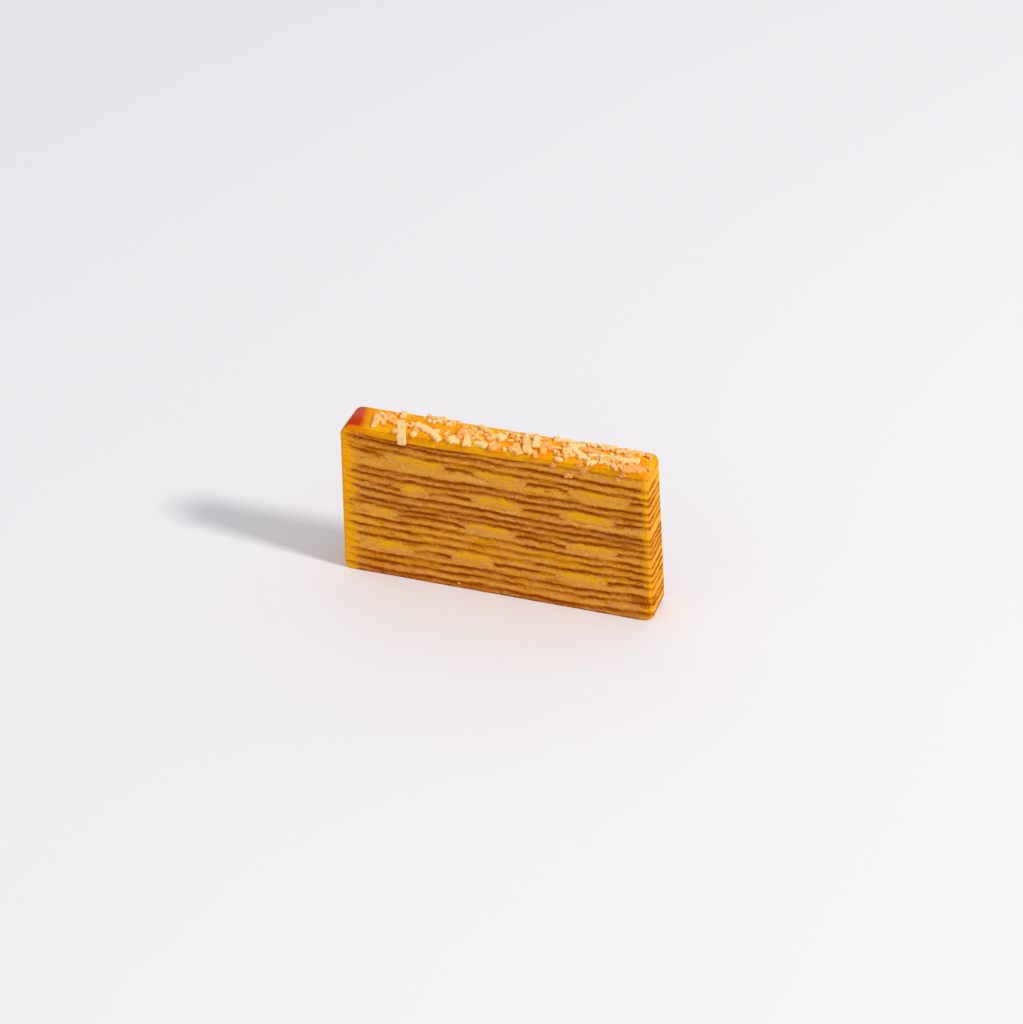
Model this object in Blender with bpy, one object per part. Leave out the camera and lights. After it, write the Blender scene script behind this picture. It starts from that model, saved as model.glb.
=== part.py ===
"""Slice of lapis legit: nineteen thin layers baked one on another, cheese strips that run through the
slice between some of them, a glazed top layer and grated cheese fused to it.

Blender 4.5, metres, +Z up. The slice stands on its base. X runs along its length, -Y is the cut face
at the front, and the origin is at the bottom centre of the whole.
"""

import math
import random

import bmesh
import bpy
from mathutils import Matrix, Vector, noise

MM = 0.001

# Driving dimensions of the slice.
LENGTH = 89.2 * MM
DEPTH = 11.6 * MM
GAP = 0.3 * MM  # clearance that every piece keeps to its neighbours

# Each baked layer from the base up: its thickness in mm at the middle of the slice, and how far its
# upper side falls from left to right, in mm for each mm of length.
BAKED = (
    (1.9, 0.001), (2.8, -0.004), (2.4, 0.0), (2.9, -0.006), (2.6, 0.005), (2.5, 0.008), (2.6, 0.015),
    (2.8, 0.011), (1.8, 0.006), (1.9, 0.004), (2.3, 0.020), (2.9, -0.002), (2.3, 0.004), (2.1, 0.002),
    (4.1, 0.033), (1.6, 0.029), (2.5, 0.023), (2.1, -0.014), (2.1, 0.0),
)
LAYERS = len(BAKED)
LEVELS = [MM * sum(thickness for thickness, _ in BAKED[:count]) for count in range(LAYERS + 1)]
HEIGHT = LEVELS[-1]

# Outline seen from the front: the right end leans in towards the top, and the corners are rounded.
LEFT = -LENGTH / 2
RIGHT = LENGTH / 2
END_LEAN = 3.2 * MM
TOP_LEFT_ROUND = 3.2 * MM
TOP_RIGHT_ROUND = 1.7 * MM
BASE_LEFT_ROUND = 2.0 * MM
BASE_RIGHT_ROUND = 3.0 * MM
END_BULGE = 0.15 * MM  # how far each layer's end swells between its two edges

# How the layers run: they curl up at the crust end, the lowest also at the heel on the right, and
# they wave a little, most of them together and each by itself.
CURL_RISE, CURL_REACH = 1.5 * MM, 4.0 * MM
HEEL_RISE, HEEL_REACH, HEEL_TOP = 0.9 * MM, 3.0 * MM, 10 * MM
SWAY_RISE, SWAY_MIDDLE, SWAY_LENGTH = 0.35 * MM, -6 * MM, 42 * MM
WAVE_RISE, WAVE_LENGTH, WAVE_PITCH = 0.42 * MM, 12 * MM, 8 * MM
TOP_WAVE_RISE, TOP_WAVE_LENGTH = 0.3 * MM, 15 * MM
THINNEST = 0.55 * MM
THIN_LAYER = 1.2 * MM  # least distance between two lines where no cheese strip lies

# Cheese strips: the level that each row lies on, how far its strips reach up and down from it, and
# the middle and width of each strip along X.
DIP, DIP_REACH = 0.3 * MM, 4.0 * MM
ROWS = {
    4: {"up": 2.0 * MM, "down": 2.6 * MM, "strips": ((-32.3, 16.5), (-7.1, 12.5), (23.9, 15.0))},
    8: {"up": 1.5 * MM, "down": 2.3 * MM, "strips": ((-34.9, 13.0), (-2.2, 15.0), (26.6, 15.0))},
    12: {"up": 1.6 * MM, "down": 2.2 * MM, "strips": ((-23.6, 8.5), (-0.2, 15.0), (25.2, 16.0))},
    15: {"up": 1.6 * MM, "down": 2.8 * MM, "strips": ((-23.3, 17.5), (0.6, 15.5), (28.3, 17.5))},
}
STRIP_FULLNESS, STRIP_BLUNTNESS = 2.3, 0.9
SIDE_STEPS = 9  # points along one side of a strip's section
X_STEP = 4.0 * MM

# Grated cheese: the shreds that stand out, each with its middle's x and y, its heading in degrees
# and its length and width in mm.
LAID_SHREDS = (
    (-35.8, -1.4, -80, 6.4, 1.5),
    (-32.5, 0.3, -39, 6.2, 1.5),
    (-29.6, 4.0, -80, 3.5, 1.5),
    (-23.9, -4.1, 75, 3.1, 1.4),
    (-20.3, -2.2, -36, 11.3, 1.9),
    (-20.3, 4.7, -5, 6.1, 1.1),
    (-15.5, -1.8, 71, 2.8, 1.1),
    (-12.7, -4.5, 44, 2.6, 1.9),
    (-11.9, 0.2, -92, 6.7, 1.5),
    (-9.3, -3.6, 104, 5.7, 1.5),
    (-8.3, 0.5, 32, 4.8, 1.5),
    (-6.6, 2.9, -36, 3.5, 1.5),
    (-5.0, -4.4, -17, 3.9, 1.7),
    (-1.0, -4.9, 62, 3.6, 1.5),
    (-1.0, 1.0, -31, 3.0, 1.9),
    (5.0, -4.0, -59, 5.6, 1.9),
    (7.1, -1.8, -73, 7.8, 1.9),
    (8.8, 0.8, -81, 5.7, 1.5),
    (11.7, -1.1, -82, 5.7, 1.5),
    (15.4, 4.4, 8, 5.2, 1.4),
    (18.0, -2.3, -65, 3.9, 1.4),
    (18.2, 1.9, 73, 6.2, 1.5),
    (20.9, -0.2, -41, 8.5, 1.9),
    (25.6, 0.8, -13, 9.6, 1.7),
    (28.2, 4.2, 12, 5.0, 1.3),
    (29.5, -3.0, -46, 3.7, 1.9),
    (33.7, 3.7, 18, 6.9, 1.2),
    (33.9, -1.0, 2, 8.0, 1.9),
    (37.4, -4.3, 20, 6.0, 2.2),
)
SHRED_THICKNESS = 0.95 * MM
SHRED_SINK = 0.3 * MM  # how deep each one sits in the glaze
SHRED_BEND = 0.35  # greatest bend in the plane of the top, as a share of the length
SHRED_TAPER = 0.2
STACK_REACH, STACK_RISE = 3.2 * MM, 0.45 * MM  # a shred laid on another rides a little higher

# The broken bits and the crumbs between them, spread along the top by a seeded walk.
BIT_COUNT, CRUMB_COUNT = 42, 56
BIT_LENGTH, BIT_WIDTH = (1.5 * MM, 3.3 * MM), (0.9 * MM, 1.6 * MM)
CRUMB_SIZE = (0.45 * MM, 0.95 * MM)
TOPPING_SEED = 13
TOPPING_ENDS = (-37.5 * MM, 41.0 * MM)
TOPPING_CROWDING = 0.8  # below 1, the bits lie closer together towards the right

# The shred that hangs over the front edge.
HANG_X, HANG_WIDTH, HANG_DROP = -26.8 * MM, 2.3 * MM, 2.5 * MM
HANG_LAP, HANG_THICKNESS, HANG_LEAN = 7.0 * MM, 0.9 * MM, -6
HANG_SLANT = 0.4  # how far it runs to the left for each mm back from the edge

COLOURS = {
    "crumb": ((0.62, 0.33, 0.07, 1), 0.75),
    "cheese": ((0.78, 0.45, 0.04, 1), 0.5),
    "glaze": ((0.85, 0.36, 0.01, 1), 0.35),
}


def clear_scene():
    for obj in list(bpy.data.objects):
        bpy.data.objects.remove(obj)


def material(name):
    colour, roughness = COLOURS[name]
    found = bpy.data.materials.get(name)
    if found is None:
        found = bpy.data.materials.new(name)
        found.use_nodes = True
        shader = found.node_tree.nodes["Principled BSDF"]
        shader.inputs["Base Color"].default_value = colour
        shader.inputs["Roughness"].default_value = roughness
    return found


def add_object(name, bm, finish):
    """Turns a bmesh into a named object with its material."""
    mesh = bpy.data.meshes.new(name)
    bmesh.ops.recalc_face_normals(bm, faces=bm.faces)
    bm.to_mesh(mesh)
    bm.free()
    mesh.materials.append(material(finish))
    obj = bpy.data.objects.new(name, mesh)
    bpy.context.scene.collection.objects.link(obj)
    return obj


# ---- how the layers run -------------------------------------------------------------------------


def smooth(value):
    """Eases 0..1 without a corner at either end."""
    value = min(1.0, max(0.0, value))
    return value * value * (3 - 2 * value)


def swell(x, middle, width):
    """Share of its full height that a strip's section has at x: 1 in its middle, 0 at its tips."""
    along = abs(x - middle) / (width / 2)
    return (1 - along**STRIP_FULLNESS) ** STRIP_BLUNTNESS if along < 1 else 0.0


def strips_of(level):
    """(middle, width) in metres of each strip that lies on a level."""
    return [(middle * MM, width * MM) for middle, width in ROWS.get(level, {}).get("strips", ())]


def run_of(level, x):
    """Height of the line between two layers at x, before it is kept clear of its neighbours."""
    if level == 0:
        return 0.0
    z = LEVELS[level]
    if level == LAYERS:
        return z + TOP_WAVE_RISE * noise.noise(Vector((x / TOP_WAVE_LENGTH, 0.0, 0.5)))
    share = z / HEIGHT
    wave = noise.noise(Vector((x / WAVE_LENGTH, z / WAVE_PITCH, 1.3)))
    z -= BAKED[level - 1][1] * x
    z += CURL_RISE * share * math.exp(-(x - LEFT) / CURL_REACH)
    z += HEEL_RISE * math.exp(-(RIGHT - x) / HEEL_REACH) * max(0.0, 1 - LEVELS[level] / HEEL_TOP)
    z += SWAY_RISE * (1 - share) * math.cos(2 * math.pi * (x - SWAY_MIDDLE) / SWAY_LENGTH)
    z += WAVE_RISE * wave
    for middle, width in strips_of(level):
        z -= DIP * smooth(1 - (abs(x - middle) - width / 2) / DIP_REACH)
    return z


def line(level, x):
    """Height of the line on top of layer number level at x, kept clear of its neighbours."""
    z = run_of(level, x)
    if level in (0, LAYERS):
        return z
    ceiling = run_of(LAYERS, x) - (LAYERS - level) * (THINNEST + GAP)
    return min(max(z, line(level - 1, x) + THIN_LAYER), ceiling)


def strip_edges(level, x, middle, width, spare=0.0):
    """Lower and upper edge of a strip's section at x, grown by spare on every side."""
    row = ROWS[level]
    full = swell(x, middle, width + 3 * spare)
    low = line(level, x) - (row["down"] + spare) * full
    high = line(level, x) + (row["up"] + spare) * full
    floor = line(level - 1, x) + GAP + THINNEST - spare
    roof = line(level + 1, x) - GAP - THINNEST + spare
    return max(low, floor), min(high, roof)


def samples(level, start, end):
    """X positions for one level's outline: an even grid, with more of them round each strip."""
    count = round((end - start) / X_STEP)
    places = [start + (end - start) * step / count for step in range(count + 1)]
    for middle, width in strips_of(level):
        half = width / 2 + 2 * GAP
        places = [x for x in places if abs(x - middle) > half + X_STEP / 4]
        places += [middle - half * math.cos(math.pi * n / (SIDE_STEPS + 1)) for n in range(SIDE_STEPS + 2)]
    return sorted(places)


def surface(level, x, above):
    """Height of the face that a layer turns to this level, from above it or from below it."""
    z = line(level, x) + (GAP / 2 if above else -GAP / 2) * (0 < level < LAYERS)
    for middle, width in strips_of(level):
        if abs(x - middle) < width / 2 + 2 * GAP:
            low, high = strip_edges(level, x, middle, width, GAP)
            z = max(z, high) if above else min(z, low)
    return z


# ---- outline of the slice -----------------------------------------------------------------------


def rounding(distance, radius):
    """How far a rounded corner pulls in at this distance from its edge."""
    if distance >= radius:
        return 0.0
    return radius - math.sqrt(max(0.0, radius**2 - (radius - distance) ** 2))


def left_end(z):
    return LEFT + rounding(z, BASE_LEFT_ROUND) + rounding(HEIGHT - z, TOP_LEFT_ROUND)


def right_end(z):
    lean = END_LEAN * z / HEIGHT
    return RIGHT - lean - rounding(z, BASE_RIGHT_ROUND) - rounding(HEIGHT - z, TOP_RIGHT_ROUND)


def end_point(level, end, above):
    """Where one face of a layer meets an end of the slice."""
    x = end(LEVELS[level])
    for _ in range(4):
        z = surface(level, x, above)
        x = end(min(max(z, 0.0), HEIGHT))
    return x, z


def end_wall(end, low, high, outwards, number):
    """Points between two corners of a layer's end, swelling a little outwards."""
    rounded = number in (0, LAYERS - 1)
    steps = 4 if rounded else 2
    points = []
    for step in range(1, steps + 1):
        share = step / (steps + 1)
        if rounded:  # closer together where the corner turns
            share = share**2 if number == 0 else 1 - (1 - share) ** 2
        z = low[1] + (high[1] - low[1]) * share
        x = end(min(max(z, 0.0), HEIGHT)) + outwards * END_BULGE * 4 * share * (1 - share)
        points.append((x, z))
    return points


def layer_outline(number):
    """Closed ring of (x, z) round the section of one layer."""
    low_left = end_point(number, left_end, True)
    low_right = end_point(number, right_end, True)
    high_left = end_point(number + 1, left_end, False)
    high_right = end_point(number + 1, right_end, False)
    low_places = samples(number, low_left[0], low_right[0])[1:-1]
    high_places = samples(number + 1, high_left[0], high_right[0])[1:-1]
    under = [(x, surface(number, x, True)) for x in low_places]
    over = [(x, surface(number + 1, x, False)) for x in high_places]
    ring = [low_left, *under, low_right]
    ring += end_wall(right_end, low_right, high_right, 1, number)
    ring += [high_right, *reversed(over), high_left]
    ring += reversed(end_wall(left_end, low_left, high_left, -1, number))
    return ring


def strip_outline(level, middle, width):
    """Closed ring of (x, z) round the section of one cheese strip."""
    ends = range(SIDE_STEPS + 2)
    places = [middle - width / 2 * math.cos(math.pi * n / (SIDE_STEPS + 1)) for n in ends]
    edges = [(x, *strip_edges(level, x, middle, width)) for x in places]
    tip_left = (places[0], line(level, places[0]))
    tip_right = (places[-1], line(level, places[-1]))
    lower = [(x, low) for x, low, _ in edges[1:-1]]
    upper = [(x, high) for x, _, high in edges[1:-1]]
    return [tip_left, *lower, tip_right, *reversed(upper)]


def cut_slab(ring, front, back):
    """Bmesh of a section swept through the slice, from the front cut to the back one."""
    bm = bmesh.new()
    face = bm.faces.new([bm.verts.new((x, front, z)) for x, z in ring])
    swept = bmesh.ops.extrude_face_region(bm, geom=[face], use_keep_orig=True)
    moved = [v for v in swept["geom"] if isinstance(v, bmesh.types.BMVert)]
    bmesh.ops.translate(bm, vec=(0, back - front, 0), verts=moved)
    return bm


# ---- grated cheese ------------------------------------------------------------------------------


def bent_ribbon(length, width, thickness, bend):
    """Bmesh of a flat shred along X, narrower at its ends and bent sideways."""
    bm = bmesh.new()
    bmesh.ops.create_cube(bm, size=1)
    bmesh.ops.scale(bm, vec=(length, width, thickness), verts=bm.verts)
    for share in (-1 / 6, 1 / 6):
        geom = bm.verts[:] + bm.edges[:] + bm.faces[:]
        bmesh.ops.bisect_plane(bm, geom=geom, plane_co=(length * share, 0, 0), plane_no=(1, 0, 0))
    for vert in bm.verts:
        share = vert.co.x / (length / 2)
        vert.co.y = vert.co.y * (1 - SHRED_TAPER * share**2) + bend * length / 4 * share**2
    return bm


def lay_shred(name, x, y, heading, length, width, draw, lift=0.0):
    """One shred flat on the glaze, its ends kept over the slice."""
    bend = draw.uniform(-SHRED_BEND, SHRED_BEND) if length > BIT_LENGTH[1] else 0.0
    obj = add_object(name, bent_ribbon(length, width, SHRED_THICKNESS, bend), "glaze")
    reach = abs(math.sin(math.radians(heading))) * length / 2
    room = max(0.0, DEPTH / 2 + GAP - reach)
    z = run_of(LAYERS, x) + SHRED_THICKNESS / 2 - SHRED_SINK + lift
    place = Matrix.Translation((x, max(-room, min(room, y)), z))
    obj.matrix_world = place @ Matrix.Rotation(math.radians(heading), 4, "Z") @ tilt(draw, length)
    return obj


def tilt(draw, length):
    """A slight lean, less for a long shred than for a short one."""
    ease = BIT_LENGTH[1] / (BIT_LENGTH[1] + length)
    pitch = math.radians(draw.uniform(-16, 16) * ease)
    roll = math.radians(draw.uniform(-20, 20) * ease)
    return Matrix.Rotation(pitch, 4, "Y") @ Matrix.Rotation(roll, 4, "X")


def lay_large_shreds(draw):
    """The shreds that stand out, each a little higher where it crosses those laid before it."""
    pieces, laid = [], []
    for n, (x, y, heading, length, width) in enumerate(LAID_SHREDS):
        x, y = x * MM, y * MM
        crossed = sum(math.hypot(x - other_x, y - other_y) < STACK_REACH for other_x, other_y in laid)
        laid.append((x, y))
        lift = min(crossed, 2) * STACK_RISE
        pieces.append(lay_shred(f"shred_{n}", x, y, heading, length * MM, width * MM, draw, lift))
    return pieces


def along_top(number, count, draw):
    """X of one of a number of things spread along the top."""
    start, end = TOPPING_ENDS
    return start + (end - start) * ((number + draw.uniform(0.1, 0.9)) / count) ** TOPPING_CROWDING


def lay_bits(draw):
    pieces = []
    for n in range(BIT_COUNT):
        x, y = along_top(n, BIT_COUNT, draw), draw.uniform(-0.9, 0.9) * DEPTH / 2
        length, width = draw.uniform(*BIT_LENGTH), draw.uniform(*BIT_WIDTH)
        pieces.append(lay_shred(f"bit_{n}", x, y, draw.uniform(-90, 90), length, width, draw))
    return pieces


def lay_crumbs(draw):
    pieces = []
    for n in range(CRUMB_COUNT):
        x, y = along_top(n, CRUMB_COUNT, draw), draw.uniform(-0.92, 0.92) * DEPTH / 2
        size = draw.uniform(*CRUMB_SIZE)
        bm = bmesh.new()
        bmesh.ops.create_icosphere(bm, subdivisions=1, radius=size)
        for vert in bm.verts:
            vert.co *= draw.uniform(0.75, 1.15)
        crumb = add_object(f"crumb_{n}", bm, "glaze")
        crumb.matrix_world = Matrix.Translation((x, y, run_of(LAYERS, x) + size * 0.35))
        pieces.append(crumb)
    return pieces


def lay_topping(collection):
    """Puts the grated cheese into a collection of its own."""
    draw = random.Random(TOPPING_SEED)
    pieces = lay_large_shreds(draw) + lay_bits(draw) + lay_crumbs(draw) + [hanging_shred()]
    for piece in pieces:
        bpy.context.scene.collection.objects.unlink(piece)
        collection.objects.link(piece)


def hanging_shred():
    """A shred that lies on the top and folds down over the front edge, just clear of the cut face."""
    face = DEPTH / 2 + GAP
    outer_face = face + HANG_THICKNESS
    ring = [
        (face - HANG_LAP, -0.3 * MM),
        (face - 0.5 * MM, -0.3 * MM),
        (face, -0.9 * MM),
        (face, -HANG_DROP),
        (outer_face, -HANG_DROP),
        (outer_face, 0.0),
        (face + 0.1 * MM, 0.9 * MM),
        (face - HANG_LAP, 0.9 * MM),
    ]
    bm = bmesh.new()
    side = bm.faces.new([bm.verts.new((-HANG_WIDTH / 2, -y, z)) for y, z in ring])
    swept = bmesh.ops.extrude_face_region(bm, geom=[side], use_keep_orig=True)
    moved = [v for v in swept["geom"] if isinstance(v, bmesh.types.BMVert)]
    bmesh.ops.translate(bm, vec=(HANG_WIDTH, 0, 0), verts=moved)
    for vert in bm.verts:
        vert.co.x -= HANG_SLANT * max(0.0, face + vert.co.y)
    obj = add_object("hanging", bm, "glaze")
    turn = Matrix.Rotation(math.radians(HANG_LEAN), 4, "Y")
    obj.matrix_world = Matrix.Translation((HANG_X, 0, HEIGHT)) @ turn
    return obj


# ---- the nodes ----------------------------------------------------------------------------------


def build_layers():
    """Every layer under the glazed one, each a slab that runs through the slice."""
    for number in range(LAYERS - 1):
        bm = cut_slab(layer_outline(number), -DEPTH / 2, DEPTH / 2)
        add_object(f"layer_{number + 1:02d}", bm, "crumb")


def build_strips():
    """The cheese strips, row by row from the base up."""
    for row, level in enumerate(sorted(ROWS), 1):
        for place, (middle, width) in enumerate(strips_of(level), 1):
            bm = cut_slab(strip_outline(level, middle, width), -DEPTH / 2, DEPTH / 2)
            add_object(f"cheese_strip_{row}_{place}", bm, "cheese")


def build_top():
    """The glazed top layer with its long edges rounded and the grated cheese fused to it."""
    bm = cut_slab(layer_outline(LAYERS - 1), -DEPTH / 2, DEPTH / 2)
    upper = HEIGHT - 0.8 * MM
    rims = [
        edge
        for edge in bm.edges
        if all(v.co.z > upper for v in edge.verts) and abs(edge.verts[0].co.y - edge.verts[1].co.y) < 1e-6
    ]
    bmesh.ops.bevel(bm, geom=rims, offset=0.7 * MM, segments=2, profile=0.5, affect="EDGES")
    top = add_object(f"layer_{LAYERS:02d}_glazed_top", bm, "glaze")
    topping = bpy.data.collections.new("topping")
    bpy.context.scene.collection.children.link(topping)
    lay_topping(topping)
    fuse(top, topping)


def fuse(obj, collection):
    """Joins every object of a collection to obj, applies the union and removes them."""
    union = obj.modifiers.new("fuse", "BOOLEAN")
    union.operation, union.operand_type, union.solver = "UNION", "COLLECTION", "MANIFOLD"
    union.collection = collection
    graph = bpy.context.evaluated_depsgraph_get()
    joined = bpy.data.meshes.new_from_object(obj.evaluated_get(graph))
    obj.modifiers.clear()
    obj.data = joined
    for piece in list(collection.objects):
        bpy.data.objects.remove(piece)
    bpy.data.collections.remove(collection)
    keep_largest_shell(obj)


def shell_of(face, seen):
    """Every face that can be reached from this one across shared edges."""
    shell, front = [face], [face]
    seen.add(face)
    while front:
        for edge in front.pop().edges:
            fresh = [other for other in edge.link_faces if other not in seen]
            seen.update(fresh)
            shell += fresh
            front += fresh
    return shell


def keep_largest_shell(obj):
    """Drops loose scraps and fills sealed hollows: only the largest shell of faces stays."""
    bm = bmesh.new()
    bm.from_mesh(obj.data)
    seen = set()
    shells = [shell_of(face, seen) for face in bm.faces if face not in seen]
    shells.sort(key=len)
    doomed = [face for shell in shells[:-1] for face in shell]
    bmesh.ops.delete(bm, geom=doomed, context="FACES")
    bm.to_mesh(obj.data)
    bm.free()


def centre_on_origin():
    """Moves every piece so that the origin is at the bottom centre of the whole."""
    corners = [obj.matrix_world @ v.co for obj in bpy.data.objects for v in obj.data.vertices]
    shift = Vector(
        (
            -(min(c.x for c in corners) + max(c.x for c in corners)) / 2,
            -(min(c.y for c in corners) + max(c.y for c in corners)) / 2,
            -min(c.z for c in corners),
        )
    )
    for obj in bpy.data.objects:
        obj.location = shift


clear_scene()
build_layers()
build_strips()
build_top()
centre_on_origin()
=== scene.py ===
"""Looks of a slice of lapis legit: the crumb, browned lines and cheese strips of its cut faces, the glaze
on its top and the grated cheese on the glaze. Metres, +Z up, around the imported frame."""

import functools
import math
import random

import bmesh
import bpy
from bpy.props import FloatProperty, FloatVectorProperty, PointerProperty
from mathutils import Matrix, Vector, noise


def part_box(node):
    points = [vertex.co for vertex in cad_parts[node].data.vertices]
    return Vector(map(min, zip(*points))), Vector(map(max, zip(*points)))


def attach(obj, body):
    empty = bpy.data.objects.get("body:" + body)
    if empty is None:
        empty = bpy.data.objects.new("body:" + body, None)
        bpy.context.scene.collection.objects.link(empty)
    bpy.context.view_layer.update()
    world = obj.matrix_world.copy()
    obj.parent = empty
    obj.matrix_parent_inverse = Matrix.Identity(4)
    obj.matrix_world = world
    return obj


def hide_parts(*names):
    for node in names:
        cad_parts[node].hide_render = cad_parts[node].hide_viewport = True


bl_info = {
    "name": "Lapis legit slice",
    "version": (1, 0, 0),
    "blender": (4, 5, 0),
    "location": "View3D > Sidebar > Lapis",
    "description": "Dresses the frame of a slice of lapis legit",
    "category": "Object",
}

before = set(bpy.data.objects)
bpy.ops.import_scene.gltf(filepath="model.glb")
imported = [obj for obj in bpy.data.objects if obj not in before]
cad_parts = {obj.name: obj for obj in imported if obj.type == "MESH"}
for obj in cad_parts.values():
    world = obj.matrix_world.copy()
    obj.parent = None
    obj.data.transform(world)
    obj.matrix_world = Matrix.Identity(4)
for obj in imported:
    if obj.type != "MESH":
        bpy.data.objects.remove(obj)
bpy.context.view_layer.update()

MM = 0.001
BODY = "root"

# ---- driving dimensions, the same as the frame's ----

# Each baked layer from the base up: thickness in mm, and fall from left to right in mm for each mm.
BAKED = (
    (1.9, 0.001), (2.8, -0.004), (2.4, 0.0), (2.9, -0.006), (2.6, 0.005), (2.5, 0.008), (2.6, 0.015),
    (2.8, 0.011), (1.8, 0.006), (1.9, 0.004), (2.3, 0.020), (2.9, -0.002), (2.3, 0.004), (2.1, 0.002),
    (4.1, 0.033), (1.6, 0.029), (2.5, 0.023), (2.1, -0.014), (2.1, 0.0),
)
LAYERS = len(BAKED)
LEVELS = [MM * sum(thickness for thickness, _ in BAKED[:count]) for count in range(LAYERS + 1)]
HEIGHT = LEVELS[-1]
TOP_NODE = f"layer_{LAYERS:02d}_glazed_top"

LENGTH, DEPTH, GAP = 89.2 * MM, 11.6 * MM, 0.3 * MM
LEFT, RIGHT = -LENGTH / 2, LENGTH / 2
END_LEAN = 3.2 * MM
TOP_LEFT_ROUND, TOP_RIGHT_ROUND = 3.2 * MM, 1.7 * MM
BASE_LEFT_ROUND, BASE_RIGHT_ROUND = 2.0 * MM, 3.0 * MM
END_BULGE = 0.15 * MM
CURL_RISE, CURL_REACH = 1.5 * MM, 4.0 * MM
HEEL_RISE, HEEL_REACH, HEEL_TOP = 0.9 * MM, 3.0 * MM, 10 * MM
SWAY_RISE, SWAY_MIDDLE, SWAY_LENGTH = 0.35 * MM, -6 * MM, 42 * MM
WAVE_RISE, WAVE_LENGTH, WAVE_PITCH = 0.42 * MM, 12 * MM, 8 * MM
TOP_WAVE_RISE, TOP_WAVE_LENGTH = 0.3 * MM, 15 * MM
THINNEST, THIN_LAYER = 0.55 * MM, 1.2 * MM
DIP, DIP_REACH = 0.3 * MM, 4.0 * MM

# Cheese strips: level, reach up and down from it, and each strip's middle and width along X in mm.
ROWS = {
    4: {"up": 2.0 * MM, "down": 2.6 * MM, "strips": ((-32.3, 16.5), (-7.1, 12.5), (23.9, 15.0))},
    8: {"up": 1.5 * MM, "down": 2.3 * MM, "strips": ((-34.9, 13.0), (-2.2, 15.0), (26.6, 15.0))},
    12: {"up": 1.6 * MM, "down": 2.2 * MM, "strips": ((-23.6, 8.5), (-0.2, 15.0), (25.2, 16.0))},
    15: {"up": 1.6 * MM, "down": 2.8 * MM, "strips": ((-23.3, 17.5), (0.6, 15.5), (28.3, 17.5))},
}
STRIP_FULLNESS, STRIP_BLUNTNESS = 2.3, 0.9

# Grated cheese: middle x and y, heading in degrees, length and width in mm.
LAID_SHREDS = (
    (-35.8, -1.4, -80, 6.4, 1.5),
    (-32.5, 0.3, -39, 6.2, 1.5),
    (-29.6, 4.0, -80, 3.5, 1.5),
    (-23.9, -4.1, 75, 3.1, 1.4),
    (-20.3, -2.2, -36, 11.3, 1.9),
    (-20.3, 4.7, -5, 6.1, 1.1),
    (-15.5, -1.8, 71, 2.8, 1.1),
    (-12.7, -4.5, 44, 2.6, 1.9),
    (-11.9, 0.2, -92, 6.7, 1.5),
    (-9.3, -3.6, 104, 5.7, 1.5),
    (-8.3, 0.5, 32, 4.8, 1.5),
    (-6.6, 2.9, -36, 3.5, 1.5),
    (-5.0, -4.4, -17, 3.9, 1.7),
    (-1.0, -4.9, 62, 3.6, 1.5),
    (-1.0, 1.0, -31, 3.0, 1.9),
    (5.0, -4.0, -59, 5.6, 1.9),
    (7.1, -1.8, -73, 7.8, 1.9),
    (8.8, 0.8, -81, 5.7, 1.5),
    (11.7, -1.1, -82, 5.7, 1.5),
    (15.4, 4.4, 8, 5.2, 1.4),
    (18.0, -2.3, -65, 3.9, 1.4),
    (18.2, 1.9, 73, 6.2, 1.5),
    (20.9, -0.2, -41, 8.5, 1.9),
    (25.6, 0.8, -13, 9.6, 1.7),
    (28.2, 4.2, 12, 5.0, 1.3),
    (29.5, -3.0, -46, 3.7, 1.9),
    (33.7, 3.7, 18, 6.9, 1.2),
    (33.9, -1.0, 2, 8.0, 1.9),
    (37.4, -4.3, 20, 6.0, 2.2),
)
SHRED_THICKNESS, SHRED_SINK = 0.95 * MM, 0.3 * MM
SHRED_BEND, SHRED_TAPER = 0.35, 0.2
STACK_REACH, STACK_RISE = 3.2 * MM, 0.45 * MM
BIT_COUNT = 42
BIT_LENGTH, BIT_WIDTH = (1.5 * MM, 3.3 * MM), (0.9 * MM, 1.6 * MM)
TOPPING_SEED = 13
TOPPING_ENDS = (-37.5 * MM, 41.0 * MM)
TOPPING_CROWDING = 0.8
HANG_X, HANG_WIDTH, HANG_DROP = -26.8 * MM, 2.3 * MM, 2.5 * MM
HANG_LAP, HANG_THICKNESS, HANG_LEAN = 7.0 * MM, 0.9 * MM, -6
HANG_SLANT = 0.4

# ---- what only the dressed slice has ----

LINE_STEP = 0.25 * MM  # the lines between the layers are worked out at this pitch
COLUMN, ROW = 0.2 * MM, 0.2 * MM  # grid of the cut faces
END_CUTS = 40  # cuts across the thickness of the slice, on its ends and on its top
CORNER_ROUND, CRUST_ROUND = 1.0 * MM, 0.6 * MM  # of the upright corners at the cut end and at the crust
CORNER_FULLEST, CORNER_PINCH = 1.15, 0.5  # the cut end's corner is pinched at each line
CRUST_ROUGHNESS, END_ROUGHNESS = 0.35, 0.7  # of the relief on the cut faces
RIM_SOFTNESS = 1.3 * MM  # of the glazed top's long edges
BEVEL_SHARE = 0.29  # a corner cut at 45 degrees draws in by this share of its reach
END_OF_GRID = 1e-4  # nearer than this to 0 or 1, u is on an end
GROOVE_DEPTH, GROOVE_WIDTH = 0.09 * MM, 0.3 * MM
HALO_REACH = 0.9 * MM  # how far a cheese strip tints the crumb round it
FRINGE_OF_STRIP = 3.0 * MM  # how far above its lower edge a strip's own colour is full
# Painted shade: undersides of shreds and crumbs are painted deeper in tone, so more toasted and pinker, for
# the shade and the orange bounce light from the glaze under them.
UNDERSIDE_PAINTED_SHADE = 0.55  # how much deeper in tone the underside of a shred or crumb is
STRIP_RAGGED = 0.5 * MM  # how far a strip's edges stray
TOP_OF_STRIP = 0.9 * MM  # how far below its upper edge it is full
SHRED_STEP = 0.4 * MM
SHRED_SPREAD = 1.2  # ragged shreds are this much wider at their widest than the plain ones
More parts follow.
